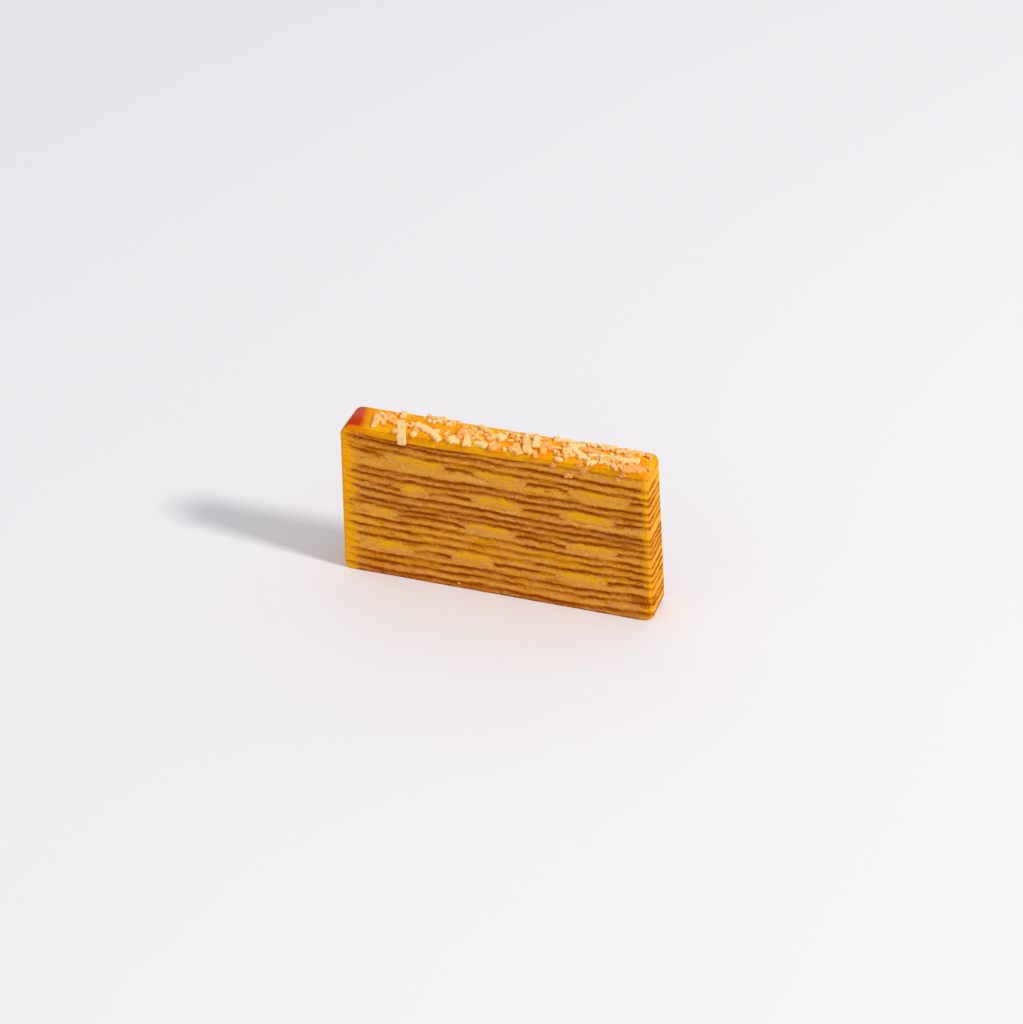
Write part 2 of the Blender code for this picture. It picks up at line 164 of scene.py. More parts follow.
SHRED_PINCH, SHRED_RAG = 0.2, 0.34 * MM  # how unevenly wide a shred is, and how ragged its sides are
SHRED_CHIP, SHRED_LUMP = 0.07 * MM, 0.16 * MM  # of its whole surface and of its upper side
HANG_RAG = Vector((0.3, 0.12, 0.12)) * MM  # how ragged the hanging shred is along each axis
SHARP_ANGLE = 50  # degrees; sharper edges stay sharp in the shading
WELD = 0.0001 * MM  # closes the tips of the cheese strips
FADED = 5  # a marked place gives nothing more once it has faded to exp(-5)

# Loose crumbs and the finest ones: how many, their sizes, the share of the depth that they spread over, how
# high their middles lie for their size, their first seed and the step between seeds, and their fineness.
LOOSE_CRUMBS = (
    (56, (0.45 * MM, 0.95 * MM), 0.92, 0.35, 0, 5.3, 2),
    (120, (0.14 * MM, 0.36 * MM), 0.93, 0.4, 400, 1.7, 1),
)

# Mats of small flakes between the shreds: middle x and y, half length and half width in mm, and how many.
MATS = (
    (-33.5, 1.5, 3.2, 2.6, 13),
    (-25.5, -1.5, 1.5, 1.5, 4),
    (-19.5, 4.6, 5.5, 0.8, 12),
    (-7.8, 1.2, 3.6, 3.2, 22),
    (-3.5, -3.8, 3.4, 1.6, 10),
    (3.0, 2.5, 3.0, 2.6, 10),
    (8.0, 1.6, 4.0, 3.4, 38),
    (17.5, -0.3, 3.0, 3.4, 20),
    (23.5, 4.0, 7.0, 1.5, 32),
    (30.5, -1.8, 4.0, 2.6, 26),
    (35.5, -4.2, 3.4, 1.3, 10),
    (34.5, 3.8, 3.6, 1.2, 12),
)
FLAKE_LENGTH, FLAKE_WIDTH, FLAKE_THICKNESS = (0.8 * MM, 2.0 * MM), (0.5 * MM, 1.1 * MM), 0.5 * MM
FLAKE_HEAP = 0.55 * MM  # how high the uppermost flakes of a mat lie over the lowest

# How each layer baked, from the base up: how brown, and how golden rather than tan, both 0 to 1.
BAKE = (
    (0.75, 0.0), (0.05, 0.3), (0.20, 0.7), (0.15, 0.5), (0.12, 0.9), (0.0, 0.9), (0.08, 0.9),
    (0.06, 0.4), (0.16, 0.4), (0.22, 0.2), (0.20, 0.1), (0.08, 0.2), (0.12, 0.5), (0.20, 0.1),
    (0.0, 0.5), (0.15, 0.9), (0.08, 0.4), (0.12, 0.8), (0.0, 0.9),
)

# Places that are paler, with more butter in them: x, z, half length, half height in mm, and how much.
PALER = (
    (0, 36.2, 60, 1.7, 0.80),
    (25, 42.6, 17, 1.0, 0.60),
    (-27, 41.6, 11, 0.8, 0.50),
    (24, 40.3, 18, 0.6, 0.45),
    (41, 30.5, 3.0, 12.0, 0.70),
    (-41, 14.0, 2.5, 9.0, 0.60),
    (37, 28.3, 6, 0.9, 0.45),
    (-38, 29.4, 7, 0.8, 0.50),
    (12, 28.2, 5, 0.7, 0.40),
    (-25, 16.2, 12, 0.7, 0.35),
    (25, 13.8, 12, 0.8, 0.35),
    (30, 3.0, 14, 0.9, 0.55),
    (-25, 3.2, 12, 0.8, 0.45),
)

# Lines that are faint in places: level, from and to in mm along X, and how much is left of them.
FAINT = (
    (18, 6, 45, 0.40),
    (18, -45, -36, 0.45),
    (16, -45, -37, 0.55),
    (5, -6, 12, 0.55),
    (6, -24, -6, 0.60),
    (6, 12, 26, 0.50),
    (7, -12, 3, 0.60),
    (2, 4, 16, 0.60),
)

# Places that baked browner: x, z, half length, half height in mm, and how much.
BROWNER = (
    (-34, 43.4, 9, 1.0, 0.50),
    (-17, 33.2, 6, 1.1, 0.75),
    (30, 24.8, 17, 1.5, 0.75),
    (-38, 25.6, 4, 2.2, 0.60),
    (-28, 24.8, 10, 1.5, 0.70),
    (-21, 20.6, 8, 1.3, 0.55),
    (10, 20.8, 6, 1.4, 0.65),
    (-5, 6.6, 6, 1.2, 0.55),
    (-10, 38.6, 4, 0.9, 0.40),
)

# Spots round the corner of the cut end: how far in mm from the middle of that end, running on round the
# corner over the front face when below -5.8, then z, half length, half height in mm, and how much.
CORNER_GOLDEN_SPOTS = (
    (3.6, 41.2, 2.6, 2.4, 1.10),
    (-7.2, 39.2, 2.2, 1.2, 1.00),
    (-6.6, 34.6, 1.6, 0.9, 0.70),
    (-6.9, 29.6, 1.8, 1.0, 0.80),
    (-7.0, 26.6, 2.0, 1.2, 1.00),
    (-6.8, 17.2, 1.9, 1.1, 1.00),
    (-6.6, 11.3, 1.8, 1.0, 0.90),
    (-7.5, 3.4, 2.2, 1.3, 0.90),
)
BURNT_SPOTS = (
    (-9.2, 6.2, 3.0, 1.1, 1.60),
    (-4.2, 6.6, 1.8, 0.9, 1.10),
    (-8.2, 4.4, 2.0, 0.6, 1.00),
    (-5.4, 9.4, 1.0, 0.6, 0.60),
)

# Crumbs of cheese that stuck to the front face: x, z, length, height in mm and lean in degrees.
STUCK_CRUMBS = (
    (15.7, 44.6, 1.7, 1.3, 20),
    (20.0, 42.1, 2.0, 1.8, 40),
    (22.9, 46.0, 1.3, 1.8, -20),
    (24.4, 44.9, 1.4, 2.2, 35),
    (33.6, 43.5, 1.3, 0.9, 30),
    (34.6, 45.0, 1.7, 1.5, -20),
    (-1.4, 41.0, 0.8, 0.6, 0),
    (-11.1, 1.6, 0.8, 0.5, 0),
)
STUCK_LUMPS, STUCK_TONE = 4, -0.25

# The camera: where it stands round the slice, and the slice's middle as it sees it.
VIEW_TURN, VIEW_RISE = 17.74, 32.36  # degrees
VIEW_DISTANCE = 774.2 * MM
VIEW_SHIFT = Vector((-2.109, 19.740)) * MM
LENS, SENSOR = 98.4375, 36.0
# The key light: degrees round from +X and up, then metres away and across.
KEY_TURN, KEY_RISE, KEY_DISTANCE, KEY_SIZE = -10, 39, 2.6, 0.4
SKY_COLOUR, KEY_COLOUR = (0.965, 0.955, 0.975, 1.0), (1.0, 0.98, 0.94)
FLOOR_HALF = 4.0


def middle_of_slice():
    """Where the slice's own middle lies in the frame, whose origin is the middle of the whole."""
    low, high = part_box("cheese_strip_2_2")
    middle = (low + high) / 2
    return Vector((middle.x - ROWS[8]["strips"][1][0] * MM, middle.y, 0.0))


OFFSET = middle_of_slice()


def colour_property(name, of_what, red, green, blue):
    return FloatVectorProperty(
        name=name,
        description=f"Colour of {of_what}",
        subtype="COLOR",
        size=4,
        min=0.0,
        max=1.0,
        default=(red, green, blue, 1.0),
    )


class LapisLooks(bpy.types.PropertyGroup):
    """Colours and strengths that a user would change."""

    golden: colour_property("Golden crumb", "a golden layer", 0.84, 0.335, 0.004)
    tan: colour_property("Tan crumb", "a tan layer", 0.77, 0.285, 0.032)
    pale: colour_property("Pale crumb", "the crumb round the cheese", 0.85, 0.405, 0.036)
    buttery: colour_property("Buttery crumb", "the middle of a layer", 0.87, 0.42, 0.07)
    blush: colour_property("Blush", "the pinkish clouds in the crumb", 0.76, 0.315, 0.115)
    toasted: colour_property("Toasted crumb", "the crumb near a line", 0.49, 0.122, 0.0)
    brown: colour_property("Browned line", "the browned skin on a layer", 0.25, 0.044, 0.0)
    rust: colour_property("Burnt spot", "the burnt spots near the cut end", 0.56, 0.11, 0.001)
    crust: colour_property("Outer crust", "the end that lay against the tin", 1.0, 0.43, 0.002)
    speck: colour_property("Light speck", "the light specks in the crumb", 0.98, 0.53, 0.11)
    cheese_yellow: colour_property("Cheese strip", "the cheese strips", 0.885, 0.413, 0.0)
    cheese_tan: colour_property("Strip's fringe", "a strip's lower fringe", 0.75, 0.31, 0.068)
    glaze: colour_property("Glaze", "the glazed top", 0.89, 0.31, 0.0)
    glaze_light: colour_property("Light glaze", "the glaze where it is thin", 0.94, 0.43, 0.0)
    glaze_deep: colour_property("Deep glaze", "the glaze where it is thick", 0.84, 0.22, 0.0)
    scorched: colour_property("Scorched corner", "the glaze at the outer end", 0.55, 0.030, 0.001)
    # The next colour is a painted reflection: the pinkish sheen of the sky on the glossy back part of the
    # scorched corner.
    painted_scorch_sheen: colour_property("Blistered corner", "the duller glaze behind it", 0.62, 0.13, 0.07)
    grated: colour_property("Grated cheese", "the grated cheese", 1.0, 0.52, 0.15)
    grated_pale: colour_property("Pale grated cheese", "its palest shreds", 1.0, 0.66, 0.29)
    grated_toasted: colour_property("Toasted cheese", "its toasted parts", 0.93, 0.36, 0.07)
    floor: colour_property("Floor", "the floor", 0.84, 0.84, 0.87)
    line_width: FloatProperty(
        name="Line width",
        description="Thickness of the browned skin on each layer",
        unit="LENGTH",
        default=0.7 * MM,
        min=0.05 * MM,
        max=1.5 * MM,
    )
    relief: FloatProperty(
        name="Relief",
        description="Depth of the crumb's relief on the cut faces",
        unit="LENGTH",
        default=0.2 * MM,
        min=0.0,
        max=0.6 * MM,
    )
    key_power: FloatProperty(
        name="Key light",
        description="Power of the key light",
        subtype="POWER",
        default=44.0,
        min=0.0,
    )
    sky: FloatProperty(
        name="Sky",
        description="Strength of the even light from all round",
        default=0.66,
        min=0.0,
    )


# ---- how the layers run ----


def noise_at(x, y, z):
    """Smooth noise round 0 at a place that is counted in lumps."""
    return noise.noise(Vector((x, y, z)))


def smooth(value):
    """Eases 0..1 without a corner at either end."""
    value = min(1.0, max(0.0, value))
    return value * value * (3 - 2 * value)


def swell(x, middle, width):
    """Share of its full height that a strip's section has at x: 1 in its middle, 0 at its tips."""
    along = abs(x - middle) / (width / 2)
    return (1 - along**STRIP_FULLNESS) ** STRIP_BLUNTNESS if along < 1 else 0.0


@functools.cache
def strips_of(level):
    """(middle, width) in metres of each strip that lies on a level."""
    return [(middle * MM, width * MM) for middle, width in ROWS.get(level, {}).get("strips", ())]


def run_of(level, x):
    """Height of the line between two layers at x, before it is kept clear of its neighbours."""
    if level == 0:
        return 0.0
    z = LEVELS[level]
    if level == LAYERS:
        return z + TOP_WAVE_RISE * noise_at(x / TOP_WAVE_LENGTH, 0.0, 0.5)
    share = z / HEIGHT
    wave = noise_at(x / WAVE_LENGTH, z / WAVE_PITCH, 1.3)
    z -= BAKED[level - 1][1] * x
    z += CURL_RISE * share * math.exp(-(x - LEFT) / CURL_REACH)
    z += HEEL_RISE * math.exp(-(RIGHT - x) / HEEL_REACH) * max(0.0, 1 - LEVELS[level] / HEEL_TOP)
    z += SWAY_RISE * (1 - share) * math.cos(2 * math.pi * (x - SWAY_MIDDLE) / SWAY_LENGTH)
    z += WAVE_RISE * wave
    for middle, width in strips_of(level):
        z -= DIP * smooth(1 - (abs(x - middle) - width / 2) / DIP_REACH)
    return z


@functools.cache
def line_at_step(level, step):
    """Height of the line on top of layer number level, a number of steps from the left end."""
    x = LEFT + step * LINE_STEP
    z = run_of(level, x)
    if level in (0, LAYERS):
        return z
    ceiling = run_of(LAYERS, x) - (LAYERS - level) * (THINNEST + GAP)
    return min(max(z, line_at_step(level - 1, step) + THIN_LAYER), ceiling)


def line(level, x):
    """Height of the line on top of layer number level at x, kept clear of its neighbours."""
    place = (x - LEFT) / LINE_STEP
    step = math.floor(place)
    share = place - step
    return line_at_step(level, step) * (1 - share) + line_at_step(level, step + 1) * share


def strip_edges(level, x, middle, width):
    """Lower and upper edge of a strip's section at x."""
    row = ROWS[level]
    full = swell(x, middle, width)
    low_rag, high_rag = (STRIP_RAGGED * noise_at(x / (1.5 * MM), level, seed) for seed in (3.1, 8.4))
    low = line(level, x) - (row["down"] + low_rag) * full
    high = line(level, x) + (row["up"] + high_rag) * full
    floor = line(level - 1, x) + GAP + THINNEST
    roof = line(level + 1, x) - GAP - THINNEST
    return max(low, floor), min(high, roof)


def surface(level, x, above):
    """Height of the face that a layer turns to this level, from above it or from below it."""
    z = line(level, x)
    for middle, width in strips_of(level):
        if abs(x - middle) < width / 2:
            low, high = strip_edges(level, x, middle, width)
            z = max(z, high) if above else min(z, low)
    return z


def halo(number, x, z):
    """How much the cheese strips tint the crumb of layer number at a place: the yellow that seeps up from
    a strip's upper side, and the paleness under and beside it."""
    above_strip = beside = 4 * HALO_REACH
    for level in (number, number + 1):
        for middle, width in strips_of(level):
            beyond = abs(x - middle) - width / 2
            if beyond > 4 * HALO_REACH:
                continue
            if beyond >= 0:
                beside = min(beside, math.hypot(beyond, z - line(level, x)))
                continue
            low, high = strip_edges(level, x, middle, width)
            if z > (low + high) / 2:
                thinner = HALO_REACH * (1 - swell(x, middle, width))
                above_strip = min(above_strip, max(0.0, z - high) + thinner)
            else:
                beside = min(beside, max(0.0, low - z))
    return math.exp(-((above_strip / HALO_REACH) ** 2)), math.exp(-((beside / HALO_REACH) ** 2))


def share_at(places, x, z, least=0.0):
    """The greatest share that any of these places gives to a point, fading round it."""
    found = least
    for middle, height, reach, half_height, much in places:
        away = ((x / MM - middle) / reach) ** 2 + ((z / MM - height) / half_height) ** 2
        if away < FADED:
            found = max(found, much * math.exp(-away))
    return found


def keenness(level, x):
    """How much of the line on a level is left at x."""
    left = 1.0
    for faint_level, start, end, much in FAINT:
        if faint_level == level:
            inside = smooth((x / MM - start) / 3) * smooth((end - x / MM) / 3)
            left = min(left, 1 - (1 - much) * inside)
    return left


def rounding(distance, radius):
    """How far a rounded corner pulls in at this distance from its edge."""
    if distance >= radius:
        return 0.0
    return radius - math.sqrt(max(0.0, radius**2 - (radius - max(0.0, distance)) ** 2))


def left_end(z):
    return LEFT + rounding(z, BASE_LEFT_ROUND) + rounding(HEIGHT - z, TOP_LEFT_ROUND)


def right_end(z):
    lean = END_LEAN * z / HEIGHT
    return RIGHT - lean - rounding(z, BASE_RIGHT_ROUND) - rounding(HEIGHT - z, TOP_RIGHT_ROUND)


# ---- meshes ----


def softened(distance, reach):
    """How far both sides of a corner draw in at this distance from it."""
    return BEVEL_SHARE * reach * max(0.0, 1 - distance / reach) ** 2


def turned(distance, radius):
    """Rounds an upright corner: how far a point at this distance from it moves back along its own face,
    and how far it moves into the slice."""
    if distance >= radius:
        return 0.0, 0.0
    angle = math.pi / 4 * (1 - distance / radius)
    return radius - distance - radius * math.sin(angle), radius * (1 - math.cos(angle))


def crumb_depth(x, z, side, relief):
    """How deep the cut face lies at a place: soft lumps, fine crumb and a few open pores."""
    lumps = noise_at(x / (5 * MM), z / (3.2 * MM), side * 7.1)
    crumb = noise_at(x / (0.95 * MM), z / (0.7 * MM), side * 3.3)
    grain = noise_at(x / (0.42 * MM), z / (0.42 * MM), side * 5.9)
    pores = max(0.0, noise_at(x / (1.5 * MM), z / (0.9 * MM), side * 9.7) - 0.3)
    return relief * (0.25 + 0.35 * lumps + 0.4 * crumb + 0.3 * grain + 2.0 * pores)


def new_object(name, bm, material):
    """Turns a bmesh into an object of the scene."""
    mesh = bpy.data.meshes.new(name)
    bm.to_mesh(mesh)
    bm.free()
    mesh.materials.append(material)
    obj = bpy.data.objects.new(name, mesh)
    bpy.context.scene.collection.objects.link(obj)
    return obj


def add_piece(name, bm, material, slot, *nodes):
    """Turns a bmesh in the slice's own coordinates into a finished piece of the object."""
    bmesh.ops.translate(bm, vec=OFFSET, verts=bm.verts)
    bmesh.ops.recalc_face_normals(bm, faces=bm.faces)
    obj = new_object(name, bm, material)
    obj.data.shade_smooth()
    obj.data.set_sharp_from_angle(angle=math.radians(SHARP_ANGLE))
    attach(obj, BODY)
    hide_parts(*nodes)
    return obj


def sweep(bm, faces, way):
    """Sweeps faces along a way into a closed solid."""
    swept = bmesh.ops.extrude_face_region(bm, geom=faces, use_keep_orig=True)
    moved = [v for v in swept["geom"] if isinstance(v, bmesh.types.BMVert)]
    bmesh.ops.translate(bm, vec=way, verts=moved)


def cut_across(bm, place, normal):
    """Cuts every face that crosses this plane in two."""
    geom = bm.verts[:] + bm.edges[:] + bm.faces[:]
    bmesh.ops.bisect_plane(bm, geom=geom, plane_co=place, plane_no=normal)


def round_edges(bm, edges, offset, segments):
    bmesh.ops.bevel(
        bm, geom=edges, offset=offset, segments=segments, profile=0.5, affect="EDGES", material=-1
    )


def cut_slab(columns, rows, place, full_cuts=False):
    """A closed slab through the slice: its front face is a grid laid by place(u, v), swept to the back.
    Its vertices carry u and v, and its ends are cut across so that they can have relief."""
    bm = bmesh.new()
    along, up = bm.verts.layers.float.new("along"), bm.verts.layers.float.new("rise")
    bmesh.ops.create_grid(bm, x_segments=columns, y_segments=rows, size=0.5)
    for vert in bm.verts:
        u, v = vert.co.x + 0.5, vert.co.y + 0.5
        x, z = place(u, v)
        vert.co = (x, -DEPTH / 2, z)
        vert[along], vert[up] = u, v
    sweep(bm, bm.faces[:], (0, DEPTH, 0))
    across = [
        edge
        for edge in bm.edges
        if abs(edge.verts[0].co.y - edge.verts[1].co.y) > DEPTH / 2
        and (full_cuts or min(edge.verts[0][along], 1 - edge.verts[0][along]) < END_OF_GRID)
    ]
    if full_cuts or columns > rows * 2:
        bmesh.ops.subdivide_edges(bm, edges=across, cuts=END_CUTS, use_grid_fill=True)
    return bm


def layer_place(number):
    """place(u, v) for the section of one layer: u runs from end to end, v from its foot to its top."""

    def place(u, v):
        z = LEVELS[number] + (LEVELS[number + 1] - LEVELS[number]) * v
        for _ in range(4):
            inside = min(max(z, 0.0), HEIGHT)
            x = left_end(inside) + (right_end(inside) - left_end(inside)) * u
            low, high = surface(number, x, True), surface(number + 1, x, False)
            z = low + (high - low) * v
        return x, z

    return place


def shape_layer(bm, number, relief):
    """Gives a slab the relief of cut crumb, a groove at each line, bulging ends and soft corners."""
    along, up = bm.verts.layers.float["along"], bm.verts.layers.float["rise"]
    for vert in bm.verts:
        x, y, z = vert.co
        u, v = vert[along], vert[up]
        near_line = min(abs(line(number + 1, x) - z), abs(z - line(number, x)))
        jagged = 1 + noise_at(x / (0.8 * MM), number, y / MM)
        groove = GROOVE_DEPTH * jagged * math.exp(-((near_line / GROOVE_WIDTH) ** 2))
        side = -1 if y < 0 else 1
        outwards = -1 if u < 0.5 else 1
        uneven = CORNER_FULLEST - CORNER_PINCH * groove / GROOVE_DEPTH
        radius = CRUST_ROUND if u < 0.5 else CORNER_ROUND * uneven
        to_cut = DEPTH / 2 - abs(y)
        to_end = max(0.0, min(x - left_end(z), right_end(z) - x))
        on_end = min(u, 1 - u) < END_OF_GRID
        if to_cut < 1e-6:
            back, into = turned(to_end, radius)
            vert.co.y = side * (DEPTH / 2 - crumb_depth(x, z, side, relief) - groove - into)
            vert.co.x = x - outwards * back
        elif on_end:
            back, into = turned(to_cut, radius)
            vert.co.y = y - side * back
            vert.co.x = x - outwards * into
        if on_end:
            roughness = CRUST_ROUGHNESS if u < 0.5 else END_ROUGHNESS
            depth = crumb_depth(y, z, outwards * 2, relief * roughness) + groove * roughness
            vert.co.x += outwards * (END_BULGE * (0.6 + 1.6 * v * (1 - v)) - depth)


def mark_layer(bm, number):
    """Leaves on each vertex what the crumb's material reads: mm below the layer's top line and above its
    foot, how keen both lines are, how brown and how golden it baked, what cheese does to it, how far the
    right end is in mm, whether it is on that end, and the spots there."""
    names = ("below_top", "above_base", "keen_top", "keen_foot", "browned", "gold")
    names += ("yellow", "pale", "to_end", "cut_end", "corner_golden_spot", "burnt_spot")
    below, above, keen_top, keen_foot, browned, gold, yellow, pale, to_end, cut_end, corner_golden, burnt = (
        bm.verts.layers.float.new(name) for name in names
    )
    along = bm.verts.layers.float["along"]
    for vert in bm.verts:
        x, y, z = vert.co
        vert[below] = max(0.0, line(number + 1, x) - z) / MM
        vert[above] = max(0.0, z - line(number, x)) / MM
        vert[keen_top], vert[keen_foot] = keenness(number + 1, x), keenness(number, x)
        vert[browned] = share_at(BROWNER, x, z, BAKE[number][0])
        vert[gold] = BAKE[number][1]
        vert[yellow], beside = halo(number, x, z)
        vert[pale] = share_at(PALER, x, z, beside)
        vert[to_end] = (right_end(z) - x) / MM
        vert[cut_end] = 1.0 if vert[along] > 1 - END_OF_GRID else 0.0
        across = y + math.copysign(max(0.0, right_end(z) - x), y)
        vert[corner_golden] = share_at(CORNER_GOLDEN_SPOTS, across, z)
        vert[burnt] = share_at(BURNT_SPOTS, across, z)


def mark_strip(bm, level, middle, width):
    """Leaves on each vertex of a strip how full its own colour is there."""
    core = bm.verts.layers.float.new("core")
    for vert in bm.verts:
        low, high = strip_edges(level, vert.co.x, middle, width)
        full = 0.45 + 0.55 * swell(vert.co.x, middle, width)
        upper = 0.85 + 0.15 * smooth((high - vert.co.z) / TOP_OF_STRIP)
        vert[core] = smooth((vert.co.z - low) / FRINGE_OF_STRIP) * full * upper


# ---- materials ----


EVEN = (1.0, 1.0, 1.0)  # grain that is not drawn out along any axis


class Recipe:
    """Short ways to lay out the nodes of one material. Sizes and depths are in mm."""

    def __init__(self, name):
        self.material = bpy.data.materials.new(name)
        self.material.use_nodes = True
        self.tree = self.material.node_tree
        self.shader = self.tree.nodes["Principled BSDF"]
        self.place = self.node("ShaderNodeTexCoord").outputs["Object"]
        self.colour = None

    def node(self, kind, **settings):
        made = self.tree.nodes.new(kind)
        for key, value in settings.items():
            setattr(made, key, value)
        return made

    def feed(self, socket, value):
        if isinstance(value, bpy.types.NodeSocket):
            self.tree.links.new(value, socket)
        else:
            socket.default_value = value

    def attribute(self, name):
        return self.node("ShaderNodeAttribute", attribute_name=name).outputs["Fac"]

    def axis(self, name):
        split = self.node("ShaderNodeSeparateXYZ")
        self.feed(split.inputs[0], self.place)
        return split.outputs[name]

    def grain(self, size, detail=2.0, stretch=EVEN):
        """Noise between 0 and 1 whose lumps have this size, divided by stretch along each axis."""
        mapping = self.node("ShaderNodeMapping")
        self.feed(mapping.inputs["Vector"], self.place)
        mapping.inputs["Scale"].default_value = stretch
        made = self.node("ShaderNodeTexNoise")
        self.feed(made.inputs["Vector"], mapping.outputs[0])
        made.inputs["Scale"].default_value = 1 / (size * MM)
        made.inputs["Detail"].default_value = detail
        made.inputs["Roughness"].default_value = 0.55
        return made.outputs["Fac"]

    def cells(self, size):
        made = self.node("ShaderNodeTexVoronoi")
        self.feed(made.inputs["Vector"], self.place)
        made.inputs["Scale"].default_value = 1 / (size * MM)
        return made.outputs["Distance"]

    def math(self, operation, first, second=0.0):
        made = self.node("ShaderNodeMath", operation=operation)
        self.feed(made.inputs[0], first)
        self.feed(made.inputs[1], second)
        return made.outputs[0]

    def times(self, *values):
        found = values[0]
        for value in values[1:]:
            found = self.math("MULTIPLY", found, value)
        return found

    def plus(self, *values):
        found = values[0]
        for value in values[1:]:
            found = self.math("ADD", found, value)
        return found

    def wander(self, size, reach, detail=2.0, stretch=EVEN):
        """Noise round 0 that strays this far, in the unit of reach."""
        return self.times(self.math("SUBTRACT", self.grain(size, detail, stretch), 0.5), 2 * reach)

    def ease(self, value, start, end, low=0.0, high=1.0):
        """Eases from low to high as value goes from start to end."""
        made = self.node("ShaderNodeMapRange", interpolation_type="SMOOTHSTEP")
        names = ("Value", "From Min", "From Max", "To Min", "To Max")
        for name, given in zip(names, (value, start, end, low, high)):
            self.feed(made.inputs[name], given)
        return made.outputs[0]

    def range(self, share, low, high):
        """Eases from low to high as a share goes from 0 to 1."""
        return self.ease(share, 0.0, 1.0, low, high)

    def mix(self, share, first, second):
        made = self.node("ShaderNodeMix", data_type="RGBA")
        self.feed(made.inputs["Factor"], share)
        self.feed(made.inputs["A"], first)
        self.feed(made.inputs["B"], second)
        return made.outputs["Result"]

    def patches(self, size, start, end, stretch=EVEN, detail=3.0):
        """Patches of this size: 1 where the noise is past end, 0 where it is short of start."""
        return self.ease(self.grain(size, detail, stretch), start, end)

    def tint(self, colour, *shares):
        """Lays a colour over the one so far, as far as all the shares together say."""
        self.colour = self.mix(self.times(*shares), self.colour, colour)

    def bump(self, height, distance, strength=1.0):
        made = self.node("ShaderNodeBump")
        self.feed(made.inputs["Height"], height)
        made.inputs["Distance"].default_value = distance * MM
        made.inputs["Strength"].default_value = strength
        return made.outputs[0]

    def finish(self, roughness, normal, shine, soft=0.0, seep=0.12):
        """Links the shader; soft is how far light seeps under the surface, and seep how much of it."""
        self.feed(self.shader.inputs["Base Color"], self.colour)
        self.feed(self.shader.inputs["Roughness"], roughness)
        self.feed(self.shader.inputs["Normal"], normal)
        self.shader.inputs["Specular IOR Level"].default_value = shine
        self.shader.inputs["Subsurface Weight"].default_value = seep if soft else 0.0
        self.shader.inputs["Subsurface Scale"].default_value = soft * MM
        return self.material


def crumb_body(made, looks, gold, pale, browned):
    """Baked crumb away from the lines: each layer's own bake, with clouds in it."""
    gold = made.plus(gold, made.wander(4, 0.6, 2.0, (0.6, 1.0, 1.4)))
    pale = made.plus(pale, made.wander(1.8, 0.35, 3.0, (0.6, 1.0, 1.3)))
    browned = made.plus(browned, made.wander(2.6, 0.42, 3.0, (0.5, 1.0, 1.4)))
    made.colour = looks.tan
    made.tint(looks.golden, made.ease(gold, 0.0, 1.0))
    made.tint(looks.pale, made.ease(pale, 0.1, 0.95))
    made.tint(looks.toasted, made.ease(browned, 0.05, 1.0), 0.9)


def crumb_streaks(made, looks, much):
    """Pinkish and toasted streaks along the layers, as strong as much says."""
    made.tint(looks.blush, made.patches(2.0, 0.48, 0.64, (0.4, 1.0, 1.2)), much, 0.65)
    made.tint(looks.toasted, made.patches(1.1, 0.52, 0.66, (0.3, 1.0, 1.2)), much, 0.75)


